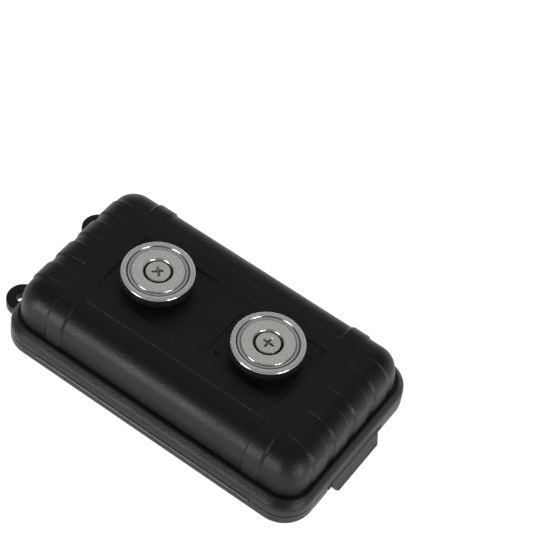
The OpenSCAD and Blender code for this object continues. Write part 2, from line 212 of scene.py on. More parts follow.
# %% Colour and node helpers
def linear(hex_colour):
    """sRGB hex to linear red, green, blue and alpha, by the standard's two-part curve."""
    values = np.array([int(hex_colour[i:i + 2], 16) for i in (1, 3, 5)]) / 255
    curve = np.where(values <= 0.04045, values / 12.92, ((values + 0.055) / 1.055) ** 2.4)
    return (*curve.tolist(), 1.0)


def new_finish(name):
    """A material with only its output and shader, and the shader itself."""
    material = bpy.data.materials.new(name)
    material.use_nodes = True
    return material, material.node_tree, material.node_tree.nodes["Principled BSDF"]


def add(tree, kind, inputs=None, **settings):
    """Adds a node: settings are its own properties, and inputs maps a socket to a value or
    to the output socket that feeds it."""
    node = tree.nodes.new(kind)
    for setting, value in settings.items():
        setattr(node, setting, value)
    for socket, value in (inputs or {}).items():
        if isinstance(value, bpy.types.NodeSocket):
            tree.links.new(value, node.inputs[socket])
        else:
            node.inputs[socket].default_value = value
    return node


def wire(tree, output, node, socket):
    """Links one output to one input of a node that is already there."""
    tree.links.new(output, node.inputs[socket])


print("middle grey in linear light:", round(linear("#808080")[0], 4))

# %% [markdown]
# ## Black ABS, injection moulded
#
# The case is acrylonitrile butadiene styrene. Its mould was spark eroded, and that leaves a
# satin skin: a fine grain of about 0.1 mm that breaks the highlights up. A grain that small
# is lost between two pixels, so it is drawn at 0.8 mm, with a slow unevenness of the gloss
# on top from the melt's flow. Handling rubs the rims of the pockets a little, and the lid's
# lip until it is smooth. The mesh marks these places with an attribute called wear. The latch
# is given a lighter base colour, which is painted light: it stands in for the stronger light
# that falls on the latch end. So one function makes both finishes from two base colours.

# %% Black ABS
def moulded_abs(name, colour):
    """Black ABS of a given base colour. Wear, broken up by scuffs, makes it greyer and
    glossier, and the grain fades by as much as the wear grows."""
    material, tree, shader = new_finish(name)
    place = add(tree, "ShaderNodeTexCoord").outputs["Object"]
    grain = add(tree, "ShaderNodeTexNoise",
                {"Vector": place, "Scale": 1 / (0.8 * MM), "Detail": 3.0, "Roughness": 0.6})
    flow = add(tree, "ShaderNodeTexNoise",
               {"Vector": place, "Scale": 1 / (18 * MM), "Detail": 2.0})
    scuffs = add(tree, "ShaderNodeTexNoise",
                 {"Vector": place, "Scale": 1 / (3 * MM), "Detail": 5.0, "Roughness": 0.7})
    wear = add(tree, "ShaderNodeAttribute", attribute_name="wear").outputs["Fac"]
    rubbed = add(tree, "ShaderNodeMath",
                 {0: wear, 1: scuffs.outputs["Fac"]}, operation="MULTIPLY")
    tint = add(tree, "ShaderNodeMix",
               {"Factor": rubbed.outputs[0], "A": linear(colour), "B": linear("#2e2e2f")},
               data_type="RGBA")
    satin = add(tree, "ShaderNodeMapRange",
                {"Value": flow.outputs["Fac"], "From Min": 0.3, "From Max": 0.7,
                 "To Min": 0.36, "To Max": 0.44})
    polished = add(tree, "ShaderNodeMath",
                   {0: rubbed.outputs[0], 1: -0.36, 2: satin.outputs[0]},
                   operation="MULTIPLY_ADD")
    unworn = add(tree, "ShaderNodeMath", {0: wear, 1: -0.6, 2: 0.6}, operation="MULTIPLY_ADD")
    relief = add(tree, "ShaderNodeBump",
                 {"Height": grain.outputs["Fac"], "Distance": 0.25 * MM,
                  "Strength": unworn.outputs[0]})
    wire(tree, tint.outputs["Result"], shader, "Base Color")
    wire(tree, polished.outputs[0], shader, "Roughness")
    wire(tree, relief.outputs["Normal"], shader, "Normal")
    shader.inputs["Specular IOR Level"].default_value = 0.22
    return material


black_abs = moulded_abs("black_ABS_spark_eroded", "#171717")
# The latch's lighter base colour is painted light, for the stronger light on the latch end
latch_abs_painted_lighter = moulded_abs("black_ABS_latch_painted_light", "#363636")
print("finishes:", black_abs.name, latch_abs_painted_lighter.name)

# %% [markdown]
# ## The loops of the case
#
# Both halves are rectangles with round corners at every height: face, wall, ledge, rim and
# hollow. They could be hulls or booleans, but then the surface would be chopped into facets.
# Instead one set of rays leaves a core rectangle at right angles, and fans out at its four
# corners. Each row of the profile is a distance out along these rays, so all rows share the
# same columns, and the whole half, outside and inside, is one closed grid.

# %% Rays that leave the core rectangle
CORE_X, CORE_Y = 51.5, 22.8


def rays(x_lines, y_lines, fan):
    """Start points and headings of the rays, anticlockwise from the latch end. The lines say
    where rays leave the straight sides, and fan is the number of steps round a corner."""
    angle = np.linspace(0, math.pi / 2, fan + 1)[1:-1]
    starts, headings = [], []
    for side_x, side_y in ((1, 1), (-1, 1), (-1, -1), (1, -1)):
        # One end or side, then the corner that follows it
        along_end = side_x == side_y
        turning = angle if along_end else angle[::-1]
        line = y_lines[::side_x] if along_end else x_lines[::-side_y]
        if along_end:
            starts.append(np.column_stack([np.full(line.size, side_x * CORE_X), line]))
            headings.append(np.tile([side_x, 0.0], (line.size, 1)))
        else:
            starts.append(np.column_stack([line, np.full(line.size, side_y * CORE_Y)]))
            headings.append(np.tile([0.0, side_y], (line.size, 1)))
        starts.append(np.tile([side_x * CORE_X, side_y * CORE_Y], (turning.size, 1)))
        headings.append(np.column_stack([side_x * np.cos(turning), side_y * np.sin(turning)]))
    return np.concatenate(starts), np.concatenate(headings)


def loops(rows, starts, headings):
    """Points of every row on every ray. A row holds half length, half width, corner radius
    and height last. Along a ray, the outline lies where the ray meets the straight side, or,
    past its end, where it meets the corner's arc: the distance to the arc is the ray's share
    of the way to the arc's centre, plus the root that is left of the radius."""
    x, y, radius, height = (rows[:, i][:, None] for i in (0, 1, 2, -1))
    x, y = x - CORE_X, y - CORE_Y
    cosine, sine = np.abs(headings.T)[:, None, :]
    centre_x, centre_y = x - radius, y - radius
    to_end = x / np.maximum(cosine, 1e-12)
    to_side = y / np.maximum(sine, 1e-12)
    share = centre_x * cosine + centre_y * sine
    root = share ** 2 - centre_x ** 2 - centre_y ** 2 + radius ** 2
    to_arc = share + np.sqrt(np.maximum(root, 0))
    reach = np.where(to_end * sine <= centre_y + 1e-9, to_end,
                     np.where(to_side * cosine <= centre_x + 1e-9, to_side, to_arc))
    flat = starts[None] + reach[..., None] * headings[None]
    return np.dstack([flat, np.broadcast_to(height, reach.shape)])


print("core rectangle in mm:", 2 * CORE_X, "by", 2 * CORE_Y)

# %% [markdown]
# ## Lines that follow the pockets
#
# On the flat face the edges of the moulded pockets are only 0.36 mm wide, on a case of 134 mm.
# Even spacing that fine would need millions of faces. So the grid's lines crowd together just
# inside each edge, as far as the round corners of the pockets reach, and stay 2 mm apart
# elsewhere.

# %% Grid lines
EDGE = 0.36
COARSE = 2.0
NEAREST, SAME = 0.06, 0.004
inside_edge = np.concatenate([[-0.5, -0.15, 0, 0.1, 0.2, 0.3, EDGE], np.arange(0.6, 2.7, 0.22)])


def crowded(edges, fixed, limit):
    """Line places from -limit to limit. edges holds (place, side): the lines crowd on that
    side of the place. Of two lines nearer than 0.06 mm, the one later in the list goes. The
    limits and the fixed lines stay, unless two of them are as good as the same."""
    first = np.concatenate([[-limit, limit], fixed])
    wanted = np.concatenate([first, [place for place, _ in edges],
                             *[place + side * inside_edge for place, side in edges],
                             np.arange(-limit, limit, COARSE)])
    order = np.argsort(wanted, kind="stable")
    kept = []
    for line in order[np.abs(wanted[order]) <= limit].tolist():
        earlier = min(line, kept[-1]) if kept else line
        nearest = SAME if earlier < first.size else NEAREST
        if kept and wanted[line] - wanted[kept[-1]] < nearest:
            kept[-1] = earlier
        else:
            kept.append(line)
    return wanted[kept]


# Half distances of the bands', the side pockets', the panel's and the end ridges' edges
BAND_OUT, BAND_IN, PLATEAU = 47.1, 41.3, 22.375
PANEL_Y = 15.3
RIDGES = (2.925, 9.725, 15.575)
# The label's two places along X and along Y, and the gate's place
LABEL = (6.5, 38.5, -14.2, 9.8)
GATE = (10.3, -10.3)

band_edges = [(side * BAND_IN, -side) for side in (-1, 1)]
band_edges += [(side * BAND_OUT, side) for side in (-1, 1)]
ridge_edges = [(side * place, side * way) for side in (-1, 1)
               for place, way in ((RIDGES[0], -1), (RIDGES[1], 1), (RIDGES[2], -1), (PLATEAU, 1))]
panel_edges = [(side * PANEL_Y, -side) for side in (-1, 1)]
label_x_edges = [(LABEL[0], 1), (LABEL[1], -1)]
label_y_edges = [(LABEL[2], 1), (LABEL[3], -1)]
gate_steps = np.arange(-0.9, 0.91, 0.15)
# The lid's lip ends by a ramp, and the notch for the latch has steep sides
LIP_END, LIP_RAMP, NOTCH_SIDE = 48.5, 0.2, 17.09
lip_steps = np.outer([-1, 1], LIP_END + np.array([-LIP_RAMP, 0, 0.1])).ravel()
notch_steps = np.outer([-1, 1], NOTCH_SIDE + np.array([-0.01, 0, 0.01])).ravel()

base_x = crowded(band_edges + label_x_edges, GATE[0] + gate_steps, CORE_X)
base_y = crowded(ridge_edges + panel_edges + label_y_edges, GATE[1] + gate_steps, CORE_Y)
lid_x = crowded(band_edges, lip_steps, CORE_X)
lid_y = crowded(ridge_edges, notch_steps, CORE_Y)
print("lines on the base:", base_x.size, "by", base_y.size)
print("lines on the lid:", lid_x.size, "by", lid_y.size)

# %% [markdown]
# ## The relief
#
# Two nested surfaces are computed, one at the height of the raised bands and ridges, and one
# 0.7 mm further in at the floor of the pockets. Every point then slides from the first to the
# second by a number between 0 and 1 that depends only on its place in plan. That number comes
# from the distance to a rectangle with round corners, which is how a mould maker mills them.

# %% Depth of the pockets in plan
RELIEF = 0.7
POCKET_RADIUS = 2.2


def inside(x, y, x0, x1, y0, y1, radius=POCKET_RADIUS):
    """How far a point lies inside a rectangle with round corners; negative outside it. It is
    the radius less the distance to the rectangle of the corners' centres, and for a point
    within that rectangle, the radius and the way to its nearest side."""
    from_x = np.abs(x - (x0 + x1) / 2) - (x1 - x0) / 2 + radius
    from_y = np.abs(y - (y0 + y1) / 2) - (y1 - y0) / 2 + radius
    beyond = np.hypot(np.maximum(from_x, 0), np.maximum(from_y, 0))
    return radius - beyond - np.minimum(np.maximum(from_x, from_y), 0)


def ease(distance, width=EDGE):
    """Smooth step from 0 to 1 over the width: three times the square less twice the cube."""
    t = np.clip(distance / width, 0, 1)
    return t * t * (3 - 2 * t)


def pocket_distance(x, y, panel):
    """Distance inside the nearest pocket, using the plan's symmetry about both axes."""
    x, y, far = np.abs(x), np.abs(y), 80.0
    pockets = [inside(x, y, -BAND_IN, BAND_IN, PLATEAU, far),
               inside(x, y, BAND_OUT, far, PLATEAU, far),
               inside(x, y, BAND_OUT, far, -RIDGES[0], RIDGES[0]),
               inside(x, y, BAND_OUT, far, RIDGES[1], RIDGES[2])]
    if panel:
        pockets.append(inside(x, y, -BAND_IN, BAND_IN, -PANEL_Y, PANEL_Y))
    return np.max(pockets, axis=0)


def pocket_depth(x, y):
    """Share of the full depth in the pockets. On the flat of the face they are 0.45 as deep,
    and they deepen over the first 6 mm of the bend. Their sloping edge widens by 0.9 mm over
    the first 8 mm of it. Both go by a smooth step."""
    past_core = np.maximum(np.abs(x) - CORE_X, np.abs(y) - CORE_Y)
    growth = 0.45 + 0.55 * ease(past_core, 6)
    flank = EDGE + 0.9 * ease(past_core, 8)
    return growth * ease(pocket_distance(x, y, False), flank)


def base_depth(x, y):
    """The base's pockets, its panel and label, and the dimple that the mould's gate leaves: a
    ring-shaped dip round a small nub, both bell curves of the distance. Towards the corner
    between latch and camera the edges of panel and label fade out, as they were polished."""
    fading = ease(x - 18, 14) * ease(-y, 9)
    panel = inside(x, y, -BAND_IN, BAND_IN, -PANEL_Y, PANEL_Y)
    label = inside(x, y, *LABEL, radius=POCKET_RADIUS + 2 * fading)
    gate = np.hypot(x - GATE[0], y - GATE[1])
    dip = np.exp(-((gate - 0.55) / 0.24) ** 2)
    nub = np.exp(-(gate / 0.32) ** 2)
    return (pocket_depth(x, y) + 0.75 * ease(panel, 0.75 + 3 * fading)
            + 0.5 * ease(label, EDGE + 2 * fading) + (0.7 * dip - 0.7 * nub))


for spot, y in (("face", CORE_Y), ("wall", 33)):
    print(f"side pocket's depth on the {spot} in mm:", round(RELIEF * float(pocket_depth(0, y)), 3))

# %% [markdown]
# ## A case half in one grid
#
# The profile runs from the middle of the face over its edge, down the wall to the ledge, over
# the rim, through the seal's channel and up inside the hollow. The face itself is the grid of
# the crossing lines, and one flat polygon closes the hollow. Wear is a bell curve of the
# distance to a pocket's edge.

# %% Build a half
CORNER_STEPS = 22


def case_half(raised, sunk, rim_row, depth, panel, x_lines, y_lines):
    """raised and sunk are the same rows at the two levels of the relief, which ends at the
    rim's row: each point lies between them by its share of the depth. Returns the points, the
    quads, the rows and columns of the wall's grid, and the wear."""
    starts, headings = rays(x_lines, y_lines, CORNER_STEPS)
    skin, floor = loops(raised, starts, headings), loops(sunk, starts, headings)
    share = depth(skin[..., 0], skin[..., 1])
    share[rim_row:] = 0
    wall = skin + (floor - skin) * share[..., None]
    grid_x, grid_y = np.meshgrid(x_lines, y_lines)
    face = np.dstack([grid_x, grid_y, np.full(grid_x.shape, raised[0, -1])])
    face[..., 2] += (sunk[0, -1] - raised[0, -1]) * depth(grid_x, grid_y)
    wall_wear, face_wear = (
        0.2 * np.exp(-((pocket_distance(x, y, panel) - 0.05) / 0.3) ** 2)
        for x, y in ((skin[..., 0], skin[..., 1]), (grid_x, grid_y)))
    wall_wear[rim_row:] = 0
    points = np.concatenate([wall.reshape(-1, 3), face.reshape(-1, 3)])
    wear = np.concatenate([wall_wear.ravel(), face_wear.ravel()])
    rows, columns = wall.shape[:2]
    quads = np.concatenate([
        grid_quads(rows, columns, False, True),
        grid_quads(*grid_x.shape, False, False)[:, ::-1] + rows * columns])
    return points, quads, (rows, columns), wear


def finish_half(name, points, quads, grid, wear, body, node):
    """Welds a half, closes its hollow with one polygon on the last row of its wall, and
    stores the wear on its points."""
    rows, columns = grid
    places, faces = weld(points, quads)
    _, first, index = merge(points)
    last_row = index[(rows - 1) * columns:rows * columns]
    faces.append(last_row[::-1].tolist())
    piece = make_piece(name, places, faces, body, "black_abs", black_abs, [node])
    store(piece, "wear", wear[first])


# %% [markdown]
# ## The base half
#
# The base is the deep half with the magnets. Its pocket floors lie 0.7 mm inside the ridges,
# so the sunk profile has smaller radii as well: an edge of 7.3 mm instead of 8 mm keeps the
# depth the same round the bend. At the wall's foot the floors have run out to half that depth.
# Most of the draft lies in the wall's upper half. The lower half is nearly upright, so it
# mirrors the dark rim. The rim begins with a narrow ledge, and a slope leads to its side.

# %% Profile of the base
def face_rows(x, y, radius, height, cut):
    """Rows across the flat of the face, 0.2 mm apart where the pockets' corners end in it."""
    reach = x - CORE_X
    flat = reach - cut
    fine, coarse = np.arange(0, min(flat, 2.4), 0.2), np.arange(2.6, flat - 0.01, 1.2)
    places = np.unique(np.append(fine, coarse))
    share = places[:, None] / reach
    core = np.array([CORE_X, CORE_Y, 0, height])
    corner = np.array([x, y, radius, height])
    return core + (corner - core) * share


def base_rows(inset):
    """Profile of the base from the middle of its face to the ceiling of its hollow: half
    length, half width, corner radius, height, cut and steps of each corner."""
    x, y, radius, top, cut = 62.1 - inset, 33.4 - inset, 8.6 - inset, 40 - inset, 8 - inset
    outside = fillet([
        # Face and wall
        (CORE_X, CORE_Y, 0, top, 0, 0),
        (x, y, radius, top, cut, 18),
        (x + 1.5 + inset / 3, y + 1.7 + inset / 3, radius + 0.8, 29, 2.6, 5),
        (x + 1.6 + inset / 2, y + 1.8 + inset / 2, radius + 0.9, 22.9, 0.15, 3),
        # Ledge, slope and side of the rim
        (64.9, 36.75, 10.4, 23.1, 0.5, 4),
        (66.8, 39.3, 11.8, 20.45, 1.1, 6),
        (67, 39.5, 12, 16.07, 0.45, 3),
        # The seal's channel
        (64.8, 37.3, 9.8, 16.07, 0.25, 2),
        (64.8, 37.3, 9.8, 20.15, 0, 0),
        (62.7, 34, 11.2, 20.15, 0, 0),
        (62.7, 34, 11.2, 16.07, 0.25, 2),
        # The hollow
        (59.7, 31, 8.2, 16.07, 0.25, 2),
        (59.7, 31, 8.2, 37.6, 5.6, 9),
        (51.6, 22.9, 0.1, 37.6, 0, 0)])
    return np.concatenate([face_rows(x, y, radius, top, cut), outside[1:]])


print("rows of the base:", len(base_rows(0)))

# %% Base shell
def lean_out(points, profile, grid, rim_row):
    """The wall at the hinge end stands 1 mm further out than at the latch end: a smooth step
    of that height over the last 16 mm, which fades out over the ledge."""
    rows, columns = grid
    ledge_end, ledge_width, lean_from, lean_length = 64.9, 1.1, 45, 16
    share = np.ones(len(points))
    share[:rows * columns] = 0
    on_ledge = np.clip((ledge_end - profile[:rim_row, 0]) / ledge_width, 0, 1)
    share[:rim_row * columns] = np.repeat(on_ledge, columns)
    points[:, 0] -= share * ease(-points[:, 0] - lean_from, lean_length)


raised, sunk = base_rows(0), base_rows(RELIEF)
rim_row = int(np.argmax(raised[:, 0] > 66))
points, quads, grid, wear = case_half(raised, sunk, rim_row, base_depth, True, base_x, base_y)
lean_out(points, raised, grid, rim_row)
finish_half("base_shell_moulded", points, quads, grid, wear, "base", "base_shell")

# %% [markdown]
# ## The lid half
#
# The lid is the shallow half that the case lies on. Its rim carries a proud lip along both
# long sides, a tongue that presses on the seal, and a notch at the latch end. The lip's upper
# edge slopes and is worn smooth, so it shows the lamp as a thin bright line. The lip is a
# number in the profile that slides the rows outwards between the lip's ends. The notch clamps
# the rim's points in two steps, 0.01 mm apart, so that its side walls cover the skirt's own
# section and nothing beside it.

# %% Profile of the lid
def lid_rows(inset):
    """Profile of the lid from the middle of its face to the floor of its hollow, as for the
    base. The number before the height is the share of the lip."""
    x, y, radius, low, cut = 62.1 - inset, 33.4 - inset, 10.6 - inset, inset, 5 - inset
    outside = fillet([
        # Face and wall
        (CORE_X, CORE_Y, 0, 0, low, 0, 0),
        (x, y, radius, 0, low, cut, 14),
        (x + 0.5, y + 0.5, radius + 0.5, 0, 13.45, 0.5, 4),
        # Groove, skirt and lip of the rim
        (64.8, 37.3, 9.8, 0, 13.45, 0.2, 2),
        (64.8, 37.3, 9.8, 0, 11.2, 0.25, 2),
        (67, 39.5, 12, 0, 11.2, 1.2, 6),
        (67, 39.5, 12, 0, 14.15, 0, 0),
        (67, 39.5, 12, 1, 14.35, 0, 0),
        (67, 39.5, 12, 1, 15.32, 0.1, 2),
        (67, 39.5, 12, 0, 15.95, 0.1, 2),
        # The tongue
        (64, 35.3, 12.5, 0, 15.95, 0, 0),
        (64, 35.3, 12.5, 0, 17.35, 0.2, 2),
        (63, 34.3, 11.5, 0, 17.35, 0.2, 2),
        (63, 34.3, 11.5, 0, 15.95, 0, 0),
        # The hollow
        (59.7, 31, 8.2, 0, 15.95, 0.25, 2),
        (59.7, 31, 8.2, 0, 2.4, 2.6, 7),
        (51.6, 22.9, 0.1, 0, 2.4, 0, 0)])
    flat = face_rows(x, y, radius, low, cut)
    return np.concatenate([np.insert(flat, 3, 0, axis=1), outside[1:]])


print("rows of the lid:", len(lid_rows(0)))

# %% Lid shell
def shape_rim(wall, profile):
    """Slides the lip out by 0.4 mm between its ends, then cuts the latch's notch into the
    skirt: there, the points rise to the wall's top and draw in to the notch's floor."""
    lip_height, wall_top, skirt_inner, skirt_from, notch_floor = 0.4, 13.45, 64.8, 63.2, 64.1
    window = np.clip((LIP_END - np.abs(wall[..., 0])) / LIP_RAMP, 0, 1)
    long_side = (np.abs(wall[..., 1]) > 30) * np.sign(wall[..., 1])
    wall[..., 1] += lip_height * profile[:, 3][:, None] * window * long_side
    x, across, z = wall[..., 0], np.abs(wall[..., 1]), wall[..., 2]
    skirt = (x > skirt_from) & (across < NOTCH_SIDE + 0.005)
    z[skirt] = np.maximum(z[skirt], wall_top)
    x[skirt] = np.minimum(x[skirt], skirt_inner)
    inner = (x > skirt_from) & (across < NOTCH_SIDE - 0.005)
    x[inner] = np.minimum(x[inner], notch_floor)


raised, sunk = lid_rows(0), lid_rows(RELIEF)
rim_row = int(np.argmax(raised[:, 0] > 64))
points, quads, grid, wear = case_half(raised, sunk, rim_row, pocket_depth, False, lid_x, lid_y)
on_wall = slice(0, grid[0] * grid[1])
shape_rim(points[on_wall].reshape(*grid, 3), raised)
worn_rows = (raised[:, -1] > 14.5) & (raised[:, 0] > 66)
wear[on_wall].reshape(grid)[worn_rows] = 1
finish_half("lid_shell_moulded", points, quads, grid, wear, "lid", "lid_shell")

# %% [markdown]
# ## Turned and extruded pieces
#
# The rest of the case is made of two kinds of surface. A profile turned round an upright axis
# gives pads, cups, magnets, screws, spacers and the lanyard ears. An outline that is carried
# straight along Y gives the hinge's and the latch's barrels, and a small bevel modifier breaks
# its edges as the mould does.

# %% Revolve and carry along Y
def revolve(profile, axis_x, axis_y, sides, closed):
    """Turns the profile's radius and height round an upright axis. A value between radius and
    height, if there is one, moves the axis along X for that row."""
    angle = np.arange(sides) * 2 * math.pi / sides
    radius, height = profile[:, :1], profile[:, -1:]
    shift = profile[:, 1:2] if profile.shape[1] == 3 else 0
    x = axis_x + shift + radius * np.cos(angle)
    y = axis_y + radius * np.sin(angle)
    points = np.dstack([x, y, np.broadcast_to(height, x.shape)]).reshape(-1, 3)
    return weld(points, grid_quads(len(profile), sides, closed, True))


def carry(outline, places):
    """Carries a closed outline of x and z along Y through the given places, and closes both
    ends with one polygon."""
    count = len(outline)
    points = np.concatenate([np.column_stack([outline[:, 0], np.full(count, y), outline[:, 1]])
                             for y in places])
    ends = [list(range(count))[::-1], list(range(len(points) - count, len(points)))]
    return points, grid_quads(len(places), count, False, True).tolist() + ends


def carry_ring(outer, inner, low, high):
    """A tube along Y: the outer outline at both ends, then the bore's at both ends."""
    count = len(outer)
    points = np.concatenate([
        np.column_stack([outline[:, 0], np.full(count, y), outline[:, 1]])
        for outline, y in ((outer, low), (outer, high), (inner, high), (inner, low))])
    return points, grid_quads(4, count, True, True).tolist()


def soften(piece, width, segments=3):
    """Rounds the sharp edges by the width in millimetres."""
    bevel = piece.modifiers.new("mould radius", "BEVEL")
    bevel.width = width * MM
    bevel.segments = segments
    bevel.limit_method = "ANGLE"
    bevel.angle_limit = math.radians(40)
    bevel.harden_normals = True
    return piece


# %% [markdown]
# ## Pads, ears and knuckles
#
# These were moulded with the shells. They are closed pieces of their own that reach a little
# way into the shell, because a joined seam between grids of such different fineness would
# leave slivers that shade badly.

# %% Moulded details of the base
MAGNETS = (("hinge_end", -24.6), ("latch_end", 24.6))
HINGE = np.array([-69.3, 16.0])
LATCH = np.array([66.0, 13.9])
# What these pieces ride on, their slot and finish, and the CAD node that they stand for
of_base = ("base", "black_abs", black_abs, ["base_shell"])
of_lid = ("lid", "black_abs", black_abs, ["lid_shell"])

pad = fillet([(0, 38.2, 0, 0), (8.5, 38.2, 0, 0), (8.5, 40, 0.35, 4), (0, 40, 0, 0)])
for end, magnet_x in MAGNETS:
    make_piece(f"spacer_pad_{end}", *revolve(pad, magnet_x, 0, 96, False), *of_base)


def knuckle_outline(side, bore):
    """A knuckle and its arm as a distance from the pin at each angle: the larger of the barrel
    and of the ray's way out of the arm's rectangle. Also the bore at the same angles."""
    low, high, reach, barrel = 0.15, 3.5, 3.3, 2.1
    corners = [math.atan2(high, 0.02), math.atan2(high, reach), math.atan2(low, reach)]
    angle = np.unique(np.append(np.arange(0, 72) * math.pi / 36, corners))
    cosine, sine = np.cos(angle), np.sin(angle)
    way = np.minimum(reach / np.maximum(cosine, 1e-9), high / np.maximum(sine, 1e-9))
    in_arm = (sine * way >= low - 1e-6) & (cosine > 0.005)
    distance = np.where(in_arm, np.maximum(way, barrel), barrel)
    ring = np.column_stack([cosine, side * sine])
    return HINGE + ring * distance[:, None], HINGE + ring * bore


outer, bore = knuckle_outline(1, 1.01)
for number, (low, high) in enumerate(((-15, -8.15), (8.15, 15)), 1):
    knuckle = carry_ring(outer, bore, low, high)
    soften(make_piece(f"hinge_knuckle_{number}", *knuckle, *of_base), 0.2)

lug_angle = np.linspace(math.pi, 2 * math.pi, 25)
lug = np.concatenate([LATCH + 1.35 * np.column_stack([np.cos(lug_angle), np.sin(lug_angle)]),
                      [[66.9, 14.6], [66.9, 16.8], [65.1, 16.8], [65.1, 14.6]]])
for number, (low, high) in enumerate(((-16.8, -14.8), (14.8, 16.8)), 1):
    soften(make_piece(f"latch_lug_{number}", *carry(lug, (low, high)), *of_base), 0.2)

# %% [markdown]
# ## The lid's share of the hinge
#
# One knuckle fits between the two of the base, with a gap of 0.15 mm on either side. The nib of
# the latch snaps under a bar at the other end. The lanyard ears are turned rings with rounded
# edges, and their inner parts lie in the rim.

# %% Moulded details of the lid
outer, bore = knuckle_outline(-1, 1.05)
soften(make_piece("hinge_knuckle_middle", *carry_ring(outer, bore, -8, 8), *of_lid), 0.2)

catch = np.array([[60.9, 12.05], [64.08, 12.05], [64.08, 13.6], [60.9, 13.6]])
soften(make_piece("latch_catch", *carry(catch, (-14.5, 14.5)), *of_lid), 0.3)

# The hole lies 0.6 mm further out than the ear's own centre
ear = fillet([(6.5, 0, 11.45, 0.7, 5), (6.5, 0, 15.8, 0.5, 4),
              (2.25, -0.6, 15.8, 0.4, 4), (2.25, -0.6, 11.45, 0.4, 4)])
for number, side in enumerate((-1, 1), 1):
    make_piece(f"lanyard_ear_{number}", *revolve(ear, -69.1, side * 22.15, 72, True), *of_lid)

# %% [markdown]
# ## The latch
#
# The finger plate hangs from its pin at a slope and reaches up to the rim. Its outline narrows
# to a round lower edge, which is easiest as a surface: for each distance down the slope a flat
# loop with round ends, whose half width and thickness shrink together near the lower edge. The
# barrel round the pin and the nib that snaps under the catch belong to the same moulding.

# %% Latch plate, barrel and nib
def latch_plate():
    """Loops down the slope. The half width narrows by 1.9 mm, and both it and the thickness
    end in a quarter circle; across, a loop is a rectangle with round corners."""
    above, length, edge, side_round = 1.85, 4.9, 0.62, 1.2
    half_width, narrowing, thick, corner = 14.6, 1.9, 1.5, 0.45
    down_slope, outward = np.array([0.361, -0.932]), np.array([0.932, 0.361])
    last_part = length - edge * (1 - np.sin(np.linspace(0, math.pi / 2, 9)[1:]))
    travel = np.append(np.linspace(-above, length - edge, 16), last_part)

    def quarter_round(size, least):
        """1 until size is left of the length, then down a quarter circle's height."""
        way = np.clip((travel - length + size) / size, 0, 1)
        return np.sqrt(np.maximum(1 - way ** 2, least))

    taper = np.clip((travel - 0.6) / (length - 0.6), 0, 1) ** 1.1
    half_widths = (half_width - narrowing * taper
                   - side_round * (1 - quarter_round(side_round, 0.02)))
    half_thick = thick / 2 * quarter_round(edge, 0)
    angle = np.linspace(0, math.pi / 2, 7)
    quarter = np.column_stack([np.cos(angle), np.sin(angle)])
    loop = np.concatenate([quarter, quarter[::-1] * [-1, 1], -quarter, quarter[::-1] * [1, -1]])
    sign_y = np.repeat([1, -1, -1, 1], angle.size)
    sign_n = np.repeat([1, 1, -1, -1], angle.size)
    shrink = np.minimum(corner, half_thick)[:, None]
    y = sign_y * (half_widths[:, None] - shrink) + shrink * loop[:, 0]
    n = sign_n * (half_thick[:, None] - shrink) + shrink * loop[:, 1]
    curl = 0.35 * np.clip((travel - 2.4) / 2.5, 0, 1) ** 2
    middle = (LATCH + [1.5, 0.0] + travel[:, None] * down_slope
              + (curl - thick / 2)[:, None] * outward)
    x = middle[:, 0][:, None] + n * outward[0]
    z = middle[:, 1][:, None] + n * outward[1]
    points = np.dstack([x, y, z]).reshape(-1, 3)
    places, faces = weld(points, grid_quads(len(travel), len(loop), False, True))
    cap = merge(points)[2][:len(loop)][::-1]
    return places, faces + [cap[np.append(True, np.diff(cap) != 0)].tolist()]


# The latch's pieces take the lighter ABS, whose lighter colour is painted light
of_latch = ("latch_lever", "black_abs", latch_abs_painted_lighter, ["latch"])
make_piece("latch_plate", *latch_plate(), *of_latch)
angle = np.arange(48) * math.pi / 24
circle = np.column_stack([np.cos(angle), np.sin(angle)])
barrel = carry_ring(LATCH + 1.6 * circle, LATCH + 0.85 * circle, -14.5, 14.5)
soften(make_piece("latch_barrel", *barrel, *of_latch), 0.2)
nib = LATCH + np.array([[-1.6, -2.15], [0.5, -2.15], [0.9, -3.1], [-1.3, -2.95]])
soften(make_piece("latch_nib", *carry(nib, (-11.5, 11.5)), *of_latch), 0.2)

# %% [markdown]
# ## Rubber seal and spacers
#
# The seal is a silicone cord in the base rim's channel, and the spacers are rubber discs that
# keep the magnets off the case. Both are moulded rubber: nearly black, dull, with a fine
# tooth that is drawn at 0.5 mm. The spacers bulge a little, as they are clamped.

# %% Rubber finishes, the seal and the spacers
def moulded_rubber(name, colour, roughness):
    """Dull rubber: colour mottled by a little dust, and a fine tooth as bump."""
    material, tree, shader = new_finish(name)
    place = add(tree, "ShaderNodeTexCoord").outputs["Object"]
    tooth = add(tree, "ShaderNodeTexNoise",
                {"Vector": place, "Scale": 1 / (0.5 * MM), "Detail": 2.0})
    dust = add(tree, "ShaderNodeTexNoise",
               {"Vector": place, "Scale": 1 / (6 * MM), "Detail": 4.0})
    mottled = add(tree, "ShaderNodeMix",
                  {"Factor": dust.outputs["Fac"], "A": linear(colour), "B": linear("#242423")},
                  data_type="RGBA")
    relief = add(tree, "ShaderNodeBump",
                 {"Height": tooth.outputs["Fac"], "Distance": 0.03 * MM, "Strength": 0.6})
    wire(tree, mottled.outputs["Result"], shader, "Base Color")
    wire(tree, relief.outputs["Normal"], shader, "Normal")
    shader.inputs["Roughness"].default_value = roughness
    shader.inputs["IOR"].default_value = 1.42
    shader.inputs["Specular IOR Level"].default_value = 0.4
    return material


silicone = moulded_rubber("silicone_cord", "#161616", 0.5)
spacer_rubber = moulded_rubber("nitrile_rubber_moulded", "#0e0e0e", 0.68)

